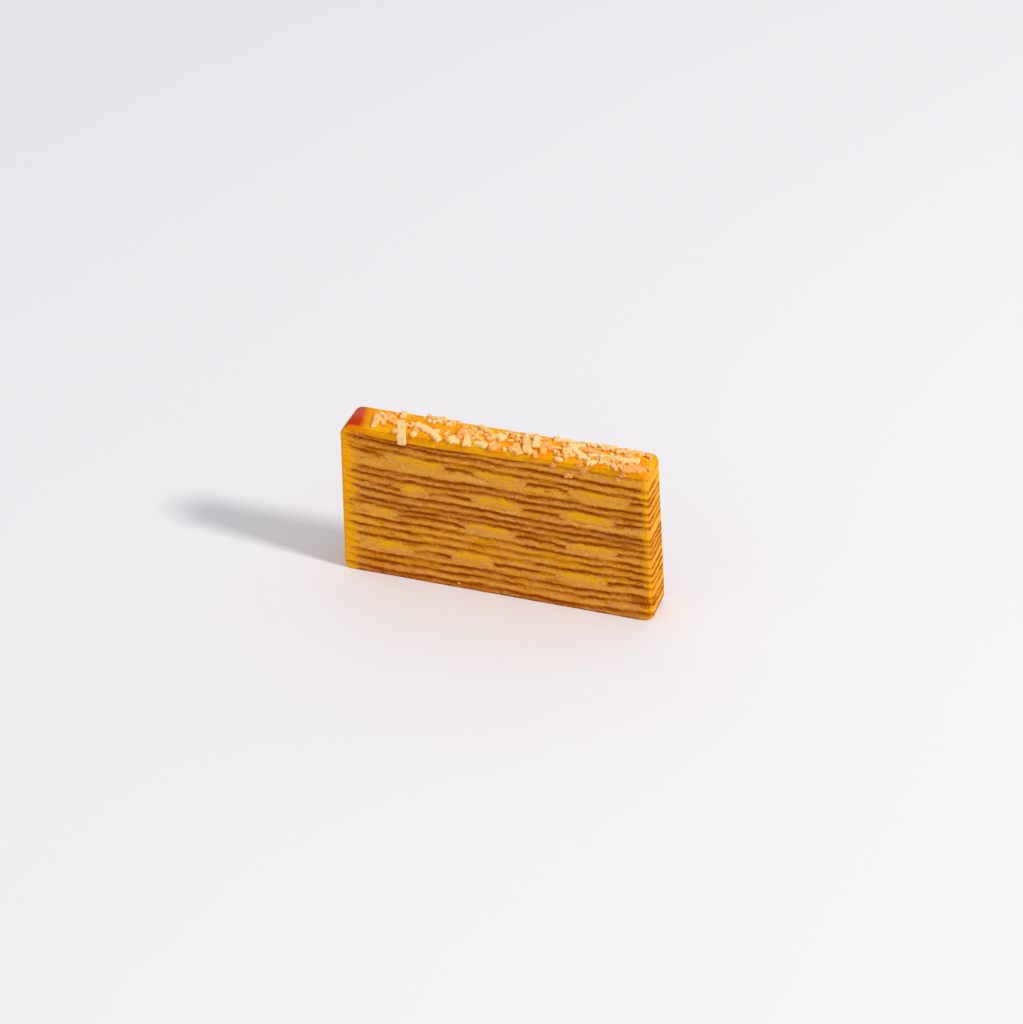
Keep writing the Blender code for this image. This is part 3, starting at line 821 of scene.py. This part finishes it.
def crumb_material(looks):
    """Golden to tan crumb with a browned skin on the top of each layer, finely pored and speckled."""
    made = Recipe("baked_crumb")
    # Both sides of a line stray together, so that it stays one line.
    stray = made.plus(made.wander(4.5, 0.42, 1.0), made.wander(0.9, 0.42, 3.0, (0.55, 1.0, 1.0)))
    stray = made.math("SUBTRACT", stray, 0.12)
    to_top = made.math("ABSOLUTE", made.plus(made.attribute("below_top"), stray))
    to_foot = made.math("ABSOLUTE", made.math("SUBTRACT", made.attribute("above_base"), stray))
    thick = made.plus(made.wander(4, 0.6, 2.0, (0.6, 1.0, 1.5)), made.wander(0.5, 0.35, 3.0))
    thick = made.plus(thick, looks.line_width / MM)
    # The lines fade at the crust end and come and go along their length.
    from_crust = made.plus(made.axis("X"), made.wander(2.4, 5.5 * MM, 2.0, (0.6, 1.0, 1.6)))
    baked = made.ease(from_crust, LEFT + 0.8 * MM, LEFT + 5.6 * MM)
    comes = made.ease(made.grain(7, 2.0, (1.0, 1.0, 4.0)), 0.34, 0.58, 0.42, 1.0)
    comes = made.times(comes, made.ease(from_crust, LEFT + 0.5 * MM, LEFT + 8.0 * MM, 0.1, 1.0))
    skins, shades = [], []
    for away, keen_name, reach in ((to_top, "keen_top", 1.5), (to_foot, "keen_foot", 1.0)):
        keen = made.times(comes, made.attribute(keen_name))
        skins.append(made.times(made.ease(away, thick, 0.0), keen))
        shades.append(made.times(made.ease(away, reach, 0.2), keen))
    skin, shade = made.math("MAXIMUM", *skins), made.math("MAXIMUM", *shades)
    crumb_body(made, looks, *(made.attribute(name) for name in ("gold", "pale", "browned")))
    yellow = made.plus(made.attribute("yellow"), made.wander(1.2, 0.25, 2.0))
    made.tint(looks.cheese_yellow, made.ease(yellow, 0.2, 0.95), 0.85)
    crumb_streaks(made, looks, comes)
    # Half way between two lines a layer is palest, in places.
    between = made.ease(made.math("MINIMUM", to_top, to_foot), 0.45, 1.05)
    made.tint(looks.buttery, between, made.patches(3, 0.4, 0.58, (0.3, 1.0, 1.5)), 0.65)
    # Near the corner of the cut end the crumb turns golden, with fainter lines and less toasting, in a band
    # and in spots, and the cut end is paler.
    corner = made.plus(made.attribute("to_end"), made.wander(2.2, 1.6, 2.0))
    on_end = made.attribute("cut_end")
    made.tint(looks.pale, on_end, 0.2)
    corner_golden = made.times(made.ease(corner, 3.2, 0.8), made.ease(on_end, 1.0, 0.0, 0.25, 1.0), 0.75)
    spots = made.ease(made.plus(made.attribute("corner_golden_spot"), made.wander(1.2, 0.35)), 0.25, 0.8)
    corner_golden = made.math("MAXIMUM", corner_golden, spots)
    made.tint(looks.crust, corner_golden)
    made.tint(looks.crust, made.math("SUBTRACT", 1.0, baked))
    shade = made.times(shade, made.range(corner_golden, 1.0, 0.4))
    made.tint(looks.toasted, shade, 0.7)
    burnt = made.plus(made.attribute("burnt_spot"), made.wander(1.2, 0.5, 3.0, (0.6, 1.0, 1.0)))
    made.tint(looks.rust, made.ease(burnt, 0.3, 0.85), 0.85)
    # Specks, light and dark; the dark ones crowd round the lines.
    made.tint(looks.speck, made.patches(0.5, 0.54, 0.74), 0.42)
    crowd = made.times(made.range(shade, 0.30, 0.85), made.range(baked, 0.35, 1.0))
    made.tint(looks.brown, made.patches(0.5, 0.48, 0.28, (0.8, 1.0, 1.2)), crowd)
    spared = made.range(corner_golden, 0.95, 0.5)
    made.tint(looks.brown, skin, spared, made.range(on_end, 1.0, 0.9))
    height = made.plus(made.grain(0.4, 3.0), made.times(made.cells(0.7), 0.7))
    roughness = made.ease(made.grain(0.8), 0.3, 0.7, 0.7, 0.95)
    return made.finish(roughness, made.bump(height, 0.15), 0.02, 0.4)


def strip_material(looks):
    """Soft cheese, yellow in its upper part, with a tan fringe that melts into the crumb below."""
    made = Recipe("cheese_strip")
    core = made.plus(made.attribute("core"), made.wander(3, 1.1, 3.0, (0.35, 1.0, 1.4)), -0.04)
    # At its edges a strip looks like the crumb round it.
    crumb_body(made, looks, 0.4, 0.6, 0.12)
    crumb_streaks(made, looks, 0.9)
    made.tint(looks.cheese_tan, made.ease(core, -0.1, 0.35))
    made.tint(looks.cheese_yellow, made.ease(core, 0.08, 0.75))
    made.tint(looks.pale, made.patches(1.5, 0.46, 0.64, (0.3, 1.0, 1.4)), 0.4)
    made.tint(looks.tan, made.patches(1.2, 0.5, 0.66, (0.25, 1.0, 1.3)), 0.55)
    # Here and there a pale sliver shows along its foot.
    rise = made.plus(made.attribute("rise"), made.wander(1.5, 0.05))
    sliver = made.times(made.ease(rise, 0.02, 0.08), made.ease(rise, 0.17, 0.1))
    made.tint(looks.grated_pale, sliver, made.patches(5, 0.56, 0.66, detail=2.0), 0.75)
    made.tint(looks.speck, made.patches(0.5, 0.58, 0.76), 0.3)
    made.tint(looks.toasted, made.patches(0.55, 0.44, 0.26, (0.6, 1.0, 1.2)), 0.5)
    height = made.plus(made.grain(0.8, 3.0), made.times(made.grain(0.35), 0.4))
    roughness = made.ease(made.grain(1.5), 0.3, 0.7, 0.5, 0.7)
    return made.finish(roughness, made.bump(height, 0.09), 0.06, 0.6)


def glaze_material(looks):
    """Amber egg glaze on the top and down the cut face, scorched at the crust end."""
    made = Recipe("glazed_top")
    x, y, z = made.axis("X"), made.axis("Y"), made.axis("Z")
    made.colour = looks.glaze
    made.tint(looks.glaze_light, made.patches(4, 0.36, 0.6, detail=2.0))
    made.tint(looks.glaze_deep, made.patches(2.6, 0.54, 0.66), 0.8)
    # It is thinner down the cut face, where the crumb shows through in streaks.
    dripped = made.ease(x, RIGHT - END_LEAN - 4 * MM, RIGHT - END_LEAN - 1 * MM, 0.0, 2.2 * MM)
    drained = made.plus(z, dripped, made.wander(2, 0.7 * MM, 2.0, (0.5, 1.0, 1.0)))
    drained = made.ease(drained, HEIGHT - 0.6 * MM, HEIGHT - 2.4 * MM)
    streaky = made.patches(2, 0.42, 0.62, (0.4, 1.0, 1.3))
    made.tint(made.mix(streaky, looks.crust, looks.golden), drained)
    made.tint(looks.speck, made.patches(0.5, 0.58, 0.76), 0.3)
    made.tint(looks.toasted, made.patches(0.5, 0.44, 0.26), made.range(drained, 0.25, 0.6))
    edge = made.plus(x, made.times(y, 0.22), made.wander(1.8, 0.8 * MM))
    near_front = made.ease(made.plus(y, made.wander(1.5, 0.4 * MM)), -DEPTH * 0.45, -DEPTH * 0.33)
    near_rim = made.ease(z, HEIGHT - 2.6 * MM, HEIGHT - 1.6 * MM)
    made.tint(looks.glaze_deep, made.ease(edge, LEFT + 9 * MM, LEFT + 5.0 * MM), near_rim, 0.75)
    # Towards the back the scorched corner is mixed with a painted sheen, a painted reflection of the sky on
    # the glaze; the scorch itself is the glaze's own colour.
    sheen = made.ease(made.plus(y, made.wander(2, 1.5 * MM)), -1.5 * MM, 2.5 * MM)
    scorched = made.mix(made.times(sheen, 0.6), looks.scorched, looks.painted_scorch_sheen)
    made.tint(scorched, made.ease(edge, LEFT + 6.2 * MM, LEFT + 4.0 * MM), near_front, near_rim)
    height = made.plus(made.grain(1.6, 2.0), made.times(made.grain(0.4), 0.35))
    roughness = made.ease(made.grain(1.2), 0.3, 0.7, 0.3, 0.5)
    return made.finish(roughness, made.bump(height, 0.12, 0.7), 0.03, 0.5)


def grated_material(looks):
    """Cheese shreds, each with its own tone, cream with toasted edges; on their undersides painted shade
    makes them deeper, more toasted and pinker.
    """
    made = Recipe("grated_cheese")
    tone = made.plus(made.attribute("tone"), made.wander(1.6, 0.35))
    made.colour = looks.grated
    made.tint(looks.grated_pale, made.ease(tone, 0.2, 0.85))
    # Low tones turn toasted and then pinkish; on the undersides, whose tone is lowered, this is painted
    # shade.
    toasted = made.plus(made.math("SUBTRACT", 0.42, tone), made.wander(1.0, 0.6, 3.0))
    made.tint(looks.grated_toasted, made.ease(toasted, 0.0, 0.6), 0.7)
    made.tint(looks.blush, made.ease(tone, -0.3, -0.8), 0.3)
    height = made.plus(made.grain(0.5, 3.0), made.times(made.cells(0.9), 0.4))
    roughness = made.ease(made.grain(1.0), 0.3, 0.7, 0.45, 0.65)
    return made.finish(roughness, made.bump(height, 0.08), 0.08, 0.4, 0.08)


def floor_material(looks):
    """Plain pale matt board."""
    made = Recipe("pale_floor")
    made.colour = looks.floor
    return made.finish(0.85, made.bump(made.grain(0.9), 0.05, 0.3), 0.2)


# ---- grated cheese ----


def shred_bmesh(length, width, thickness, bend, seed):
    """One flat shred along X: its ends cut askew, bent sideways, its outline ragged."""
    bm = bmesh.new()
    bmesh.ops.create_cube(bm, size=1)
    bmesh.ops.scale(bm, vec=(length, width, thickness), verts=bm.verts)
    rims = [edge for edge in bm.edges if edge.calc_face_angle() > 1]
    round_edges(bm, rims, thickness * 0.2, 1)
    steps = max(3, round(length / SHRED_STEP))
    planes = [((length * (n / steps - 0.5), 0, 0), (1, 0, 0)) for n in range(1, steps)]
    planes += [((0, width * share, 0), (0, 1, 0)) for share in (-0.17, 0.17)]
    for place, normal in planes:
        cut_across(bm, place, normal)
    skew = 0.5 * noise_at(seed, 4.4, 0)
    for vert in bm.verts:
        share = vert.co.x / (length / 2)
        across = vert.co.y / (width / 2)
        low = vert.co.z < 0
        pinch = SHRED_PINCH * noise_at(vert.co.x / (1.6 * MM), seed, 1.1)
        ragged = noise_at(vert.co.x / (0.75 * MM), seed + 3 * (across > 0), 7.7)
        chipped = noise.noise_vector(Vector((vert.co.x / (0.5 * MM), vert.co.y / (0.5 * MM), seed + 31)))
        vert.co.y *= 1 - SHRED_TAPER * share**2 + pinch
        vert.co.y += across * abs(across) * ragged * SHRED_RAG + bend * length / 4 * share**2
        vert.co.x += skew * vert.co.y * share
        vert.co += chipped * SHRED_CHIP
        if not low:
            vert.co.z += SHRED_LUMP * noise.noise(vert.co / (0.8 * MM) + Vector((0, 0, seed)))
    return bm


def gather(into, bm, matrix, tone, deeper=UNDERSIDE_PAINTED_SHADE):
    """Adds a placed copy of one small bmesh to another, in a tone that is deeper on its underside, which is
    painted shade.
    """
    layer = bm.verts.layers.float.new("tone")
    for vert in bm.verts:
        vert[layer] = tone - (deeper if vert.co.z < 0 else 0.0)
    bmesh.ops.transform(bm, matrix=matrix, verts=bm.verts)
    held = bpy.data.meshes.new("held")
    bm.to_mesh(held)
    bm.free()
    into.from_mesh(held)
    bpy.data.meshes.remove(held)


def tilt(draw, length):
    """A slight lean, less for a long shred than for a short one."""
    ease = BIT_LENGTH[1] / (BIT_LENGTH[1] + length)
    pitch = math.radians(draw.uniform(-16, 16) * ease)
    roll = math.radians(draw.uniform(-20, 20) * ease)
    return Matrix.Rotation(pitch, 4, "Y") @ Matrix.Rotation(roll, 4, "X")


def tone_of(seed):
    return 0.5 + 0.5 * math.sin(seed * 12.9)


def lay_shred(into, x, y, heading, length, width, draw, seed, lift=0.0):
    """One shred flat on the glaze, its ends kept over the slice."""
    bend = draw.uniform(-SHRED_BEND, SHRED_BEND) if length > BIT_LENGTH[1] else 0.0
    reach = abs(math.sin(math.radians(heading))) * length / 2
    room = max(0.0, DEPTH / 2 + GAP - reach)
    z = run_of(LAYERS, x) + SHRED_THICKNESS / 2 - SHRED_SINK + lift
    place = Matrix.Translation((x, max(-room, min(room, y)), z))
    turn = place @ Matrix.Rotation(math.radians(heading), 4, "Z") @ tilt(draw, length)
    shred = shred_bmesh(length, width * SHRED_SPREAD, SHRED_THICKNESS, bend, seed)
    gather(into, shred, turn, tone_of(seed))


def lay_large_shreds(into, draw):
    """The shreds that stand out, each a little higher where it crosses those laid before it."""
    laid = []
    for n, (x, y, heading, length, width) in enumerate(LAID_SHREDS):
        x, y = x * MM, y * MM
        crossed = sum(math.hypot(x - other_x, y - other_y) < STACK_REACH for other_x, other_y in laid)
        laid.append((x, y))
        lift = min(crossed, 2) * STACK_RISE
        lay_shred(into, x, y, heading, length * MM, width * MM, draw, n * 3.7, lift)


def along_top(number, count, draw):
    """X of one of a number of things spread along the top."""
    start, end = TOPPING_ENDS
    return start + (end - start) * ((number + draw.uniform(0.1, 0.9)) / count) ** TOPPING_CROWDING


def lay_bits(into, draw):
    for n in range(BIT_COUNT):
        x, y = along_top(n, BIT_COUNT, draw), draw.uniform(-0.9, 0.9) * DEPTH / 2
        length, width = draw.uniform(*BIT_LENGTH), draw.uniform(*BIT_WIDTH)
        lay_shred(into, x, y, draw.uniform(-90, 90), length, width, draw, 200 + n * 2.9)


def lay_mats(into, draw):
    """The small flakes that lie heaped between the shreds."""
    for x, y, half_length, half_width, count in MATS:
        for n in range(count):
            away, around = math.sqrt(draw.random()), draw.uniform(0, 2 * math.pi)
            length, width = draw.uniform(*FLAKE_LENGTH), draw.uniform(*FLAKE_WIDTH)
            room = DEPTH / 2 - length / 2
            across = (y + half_width * away * math.sin(around)) * MM
            across = max(-room, min(room, across))
            along = (x + half_length * away * math.cos(around)) * MM
            heaped = FLAKE_HEAP * draw.random() * (1 - away**2)
            place = Matrix.Translation((along, across, run_of(LAYERS, along) + 0.15 * MM + heaped))
            turn = Matrix.Rotation(draw.uniform(0, math.pi), 4, "Z") @ tilt(draw, 0.0)
            seed = 900 + n * 3.1 + x
            flake = shred_bmesh(length, width, FLAKE_THICKNESS, 0, seed)
            gather(into, flake, place @ turn, draw.random())


def crumb_bmesh(size, seed, rings):
    """One uneven crumb."""
    bm = bmesh.new()
    bmesh.ops.create_icosphere(bm, subdivisions=rings, radius=size)
    for vert in bm.verts:
        way = vert.co.normalized()
        broad = noise.noise(way * 1.4 + Vector((seed, 0, 0)))
        fine = noise.noise(way * 3.5 + Vector((0, seed, 0)))
        vert.co *= 0.92 + 0.5 * broad + 0.3 * fine
    return bm


def lay_crumbs(into, draw):
    """Crumbs, and then the finest ones, scattered over the top between the shreds."""
    for count, sizes, spread, lift, first_seed, seed_step, rings in LOOSE_CRUMBS:
        for n in range(count):
            x, y = along_top(n, count, draw), draw.uniform(-spread, spread) * DEPTH / 2
            size = draw.uniform(*sizes)
            place = Matrix.Translation((x, y, run_of(LAYERS, x) + size * lift))
            gather(into, crumb_bmesh(size, first_seed + n * seed_step, rings), place, tone_of(n))


def lay_stuck_crumbs(into, draw):
    """Crumbs that stuck to the front face below the rim, each a few lumps together."""
    for n, (x, z, length, height, lean) in enumerate(STUCK_CRUMBS):
        turn = Matrix.Rotation(math.radians(lean), 4, "Y")
        for lump in range(STUCK_LUMPS):
            shift = Vector((draw.uniform(-0.3, 0.3) * length, 0, draw.uniform(-0.3, 0.3) * height))
            place = Matrix.Translation(Vector((x, -DEPTH / 2 / MM - 0.05, z)) * MM + turn @ shift * MM)
            flat = Matrix.Diagonal((length * 0.7, 0.55, height * 0.7, 1.0))
            crumb = crumb_bmesh(0.5 * MM, 700 + n * 4.1 + lump * 9.3, 3)
            gather(into, crumb, place @ turn @ flat, STUCK_TONE)


def hanging_bmesh():
    """The shred that lies across the top and folds down over the front edge."""
    face = DEPTH / 2 + GAP
    outer_face = face + HANG_THICKNESS
    ring = [
        (face - HANG_LAP, -0.3 * MM),
        (face - 0.5 * MM, -0.3 * MM),
        (face, -0.9 * MM),
        (face, -HANG_DROP),
        (outer_face, -HANG_DROP),
        (outer_face, 0.0),
        (face + 0.1 * MM, 0.9 * MM),
        (face - HANG_LAP, 0.9 * MM),
    ]
    bm = bmesh.new()
    side = bm.faces.new([bm.verts.new((-HANG_WIDTH / 2, -y, z)) for y, z in ring])
    sweep(bm, [side], (HANG_WIDTH, 0, 0))
    bmesh.ops.recalc_face_normals(bm, faces=bm.faces)
    folds = [e for e in bm.edges if e.calc_face_angle() > 0.3]
    round_edges(bm, folds, 0.22 * MM, 2)
    cuts = [(Vector((0, 0, 1)), -HANG_DROP, 0.9 * MM), (Vector((0, 1, 0)), -outer_face, HANG_LAP)]
    cuts.append((Vector((1, 0, 0)), -HANG_WIDTH / 2, HANG_WIDTH / 2))
    for normal, low, high in cuts:
        for n in range(1, round((high - low) / SHRED_STEP)):
            cut_across(bm, normal * (low + n * SHRED_STEP), normal)
    for vert in bm.verts:
        vert.co.x -= HANG_SLANT * max(0.0, face + vert.co.y)
        ragged = noise.noise_vector(vert.co / (1.1 * MM))
        vert.co.x += ragged.x * HANG_RAG.x
        vert.co.y += max(0.0, ragged.y) * HANG_RAG.y
        vert.co.z += ragged.z * HANG_RAG.z
    return bm


# ---- operators ----


class LAPIS_OT_layers(bpy.types.Operator):
    """Dress every baked layer under the glazed one"""

    bl_idname = "lapis.layers"
    bl_label = "Baked layers"

    def execute(self, context):
        looks = context.scene.lapis_looks
        material = crumb_material(looks)
        columns = round(LENGTH / COLUMN)
        for number in range(LAYERS - 1):
            name = f"layer_{number + 1:02d}"
            rows = max(6, round((LEVELS[number + 1] - LEVELS[number]) / ROW))
            bm = cut_slab(columns, rows, layer_place(number))
            mark_layer(bm, number)
            shape_layer(bm, number, looks.relief)
            add_piece(f"crumb_{name}", bm, material, "baked_crumb", name)
        return {"FINISHED"}


class LAPIS_OT_strips(bpy.types.Operator):
    """Dress the cheese strips between the layers"""

    bl_idname = "lapis.strips"
    bl_label = "Cheese strips"

    def execute(self, context):
        looks = context.scene.lapis_looks
        material = strip_material(looks)
        for row, level in enumerate(sorted(ROWS), 1):
            for number, (middle, width) in enumerate(strips_of(level), 1):

                def place(u, v, level=level, middle=middle, width=width):
                    x = middle - width / 2 * math.cos(math.pi * u)
                    low, high = strip_edges(level, x, middle, width)
                    return x, low + (high - low) * v

                bm = cut_slab(round(width / COLUMN), 16, place)
                mark_strip(bm, level, middle, width)
                core = bm.verts.layers.float["core"]
                for vert in bm.verts:
                    side = -1 if vert.co.y < 0 else 1
                    relief = looks.relief * (1 - 0.5 * vert[core])
                    vert.co.y = side * (DEPTH / 2 - crumb_depth(vert.co.x, vert.co.z, side, relief))
                bmesh.ops.remove_doubles(bm, verts=bm.verts, dist=WELD)
                name = f"cheese_strip_{row}_{number}"
                add_piece(f"soft_{name}", bm, material, "cheese_strip", name)
        return {"FINISHED"}


class LAPIS_OT_top(bpy.types.Operator):
    """Dress the glazed top layer"""

    bl_idname = "lapis.top"
    bl_label = "Glazed top"

    def execute(self, context):
        looks = context.scene.lapis_looks
        columns = round(LENGTH / COLUMN / 1.4)
        number = LAYERS - 1
        bm = cut_slab(columns, 12, layer_place(number), full_cuts=True)
        shape_layer(bm, number, looks.relief * 0.6)
        up = bm.verts.layers.float["rise"]
        for vert in bm.verts:
            x, y, z = vert.co
            if vert[up] > 0.999:
                lumps = noise_at(x / (4 * MM), y / (4 * MM), 2.2)
                vert.co.z = z + 0.12 * MM * lumps - softened(DEPTH / 2 - abs(y), RIM_SOFTNESS)
            elif abs(y) > DEPTH / 2 - 0.5 * MM:
                to_top = run_of(LAYERS, x) - z
                vert.co.y = y - math.copysign(softened(max(0.0, to_top), RIM_SOFTNESS), y)
        add_piece("glazed_top", bm, glaze_material(looks), "glazed_top", TOP_NODE)
        return {"FINISHED"}


class LAPIS_OT_grated(bpy.types.Operator):
    """Lay the grated cheese and its crumbs on the glaze"""

    bl_idname = "lapis.grated"
    bl_label = "Grated cheese"

    def execute(self, context):
        looks = context.scene.lapis_looks
        material = grated_material(looks)
        draw = random.Random(TOPPING_SEED)
        noise.seed_set(TOPPING_SEED)  # noise_vector would differ from run to run without it
        shreds, crumbs = bmesh.new(), bmesh.new()
        lay_large_shreds(shreds, draw)
        lay_bits(shreds, draw)
        turn = Matrix.Translation((HANG_X, 0, HEIGHT)) @ Matrix.Rotation(math.radians(HANG_LEAN), 4, "Y")
        gather(shreds, hanging_bmesh(), turn, 0.9, 0.0)
        lay_crumbs(crumbs, draw)
        lay_mats(crumbs, draw)
        lay_stuck_crumbs(crumbs, draw)
        add_piece("grated_cheese_shreds", shreds, material, "cheese_strip", TOP_NODE)
        add_piece("grated_cheese_crumbs", crumbs, material, "cheese_strip", TOP_NODE)
        return {"FINISHED"}


class LAPIS_OT_stage(bpy.types.Operator):
    """Set the floor, the lights and the camera"""

    bl_idname = "lapis.stage"
    bl_label = "Stage"

    def execute(self, context):
        looks = context.scene.lapis_looks
        self.lay_floor(looks)
        self.hang_lights(context.scene, looks)
        self.stand_camera(context.scene)
        return {"FINISHED"}

    def lay_floor(self, looks):
        bm = bmesh.new()
        bmesh.ops.create_grid(bm, x_segments=4, y_segments=4, size=FLOOR_HALF)
        floor = new_object("floor", bm, floor_material(looks))

    def hang_lights(self, scene, looks):
        world = bpy.data.worlds.new("studio")
        world.use_nodes = True
        background = world.node_tree.nodes["Background"]
        background.inputs["Color"].default_value = SKY_COLOUR
        background.inputs["Strength"].default_value = looks.sky
        scene.world = world
        turn, rise = math.radians(KEY_TURN), math.radians(KEY_RISE)
        way = Vector((math.cos(turn) * math.cos(rise), math.sin(turn) * math.cos(rise), math.sin(rise)))
        lamp = bpy.data.lights.new("key", "AREA")
        lamp.shape = "DISK"
        lamp.size = KEY_SIZE
        lamp.energy = looks.key_power
        lamp.color = KEY_COLOUR
        key = bpy.data.objects.new("key", lamp)
        key.location = way * KEY_DISTANCE + Vector((0, 0, HEIGHT / 2))
        key.rotation_mode = "QUATERNION"
        key.rotation_quaternion = way.to_track_quat("Z", "Y")
        scene.collection.objects.link(key)

    def stand_camera(self, scene):
        turn, rise = math.radians(VIEW_TURN), math.radians(VIEW_RISE)
        back = Vector((math.sin(turn) * math.cos(rise), -math.cos(turn) * math.cos(rise), math.sin(rise)))
        right = Vector((math.cos(turn), math.sin(turn), 0.0))
        up = back.cross(right)
        lens = bpy.data.cameras.new("camera")
        lens.lens, lens.sensor_width = LENS, SENSOR
        camera = bpy.data.objects.new("camera", lens)
        camera.matrix_world = Matrix((right, up, back)).transposed().to_4x4()
        camera.location = back * VIEW_DISTANCE - right * VIEW_SHIFT.x + up * VIEW_SHIFT.y + OFFSET
        scene.collection.objects.link(camera)
        scene.camera = camera
        scene.view_settings.view_transform = "Standard"


class LAPIS_PT_panel(bpy.types.Panel):
    """The pieces of the slice, in the order in which they are made"""

    bl_label = "Lapis legit slice"
    bl_idname = "LAPIS_PT_panel"
    bl_space_type = "VIEW_3D"
    bl_region_type = "UI"
    bl_category = "Lapis"

    def draw(self, context):
        looks = context.scene.lapis_looks
        for name in LapisLooks.__annotations__:
            self.layout.prop(looks, name)
        for operator in OPERATORS:
            self.layout.operator(operator.bl_idname)


OPERATORS = (LAPIS_OT_layers, LAPIS_OT_strips, LAPIS_OT_top, LAPIS_OT_grated, LAPIS_OT_stage)
CLASSES = (LapisLooks, *OPERATORS, LAPIS_PT_panel)


def register():
    for cls in CLASSES:
        bpy.utils.register_class(cls)
    bpy.types.Scene.lapis_looks = PointerProperty(type=LapisLooks)


def unregister():
    del bpy.types.Scene.lapis_looks
    for cls in reversed(CLASSES):
        bpy.utils.unregister_class(cls)


def main():
    register()
    bpy.ops.lapis.layers()
    bpy.ops.lapis.strips()
    bpy.ops.lapis.top()
    bpy.ops.lapis.grated()
    bpy.ops.lapis.stage()


if __name__ == "__main__":
    main()
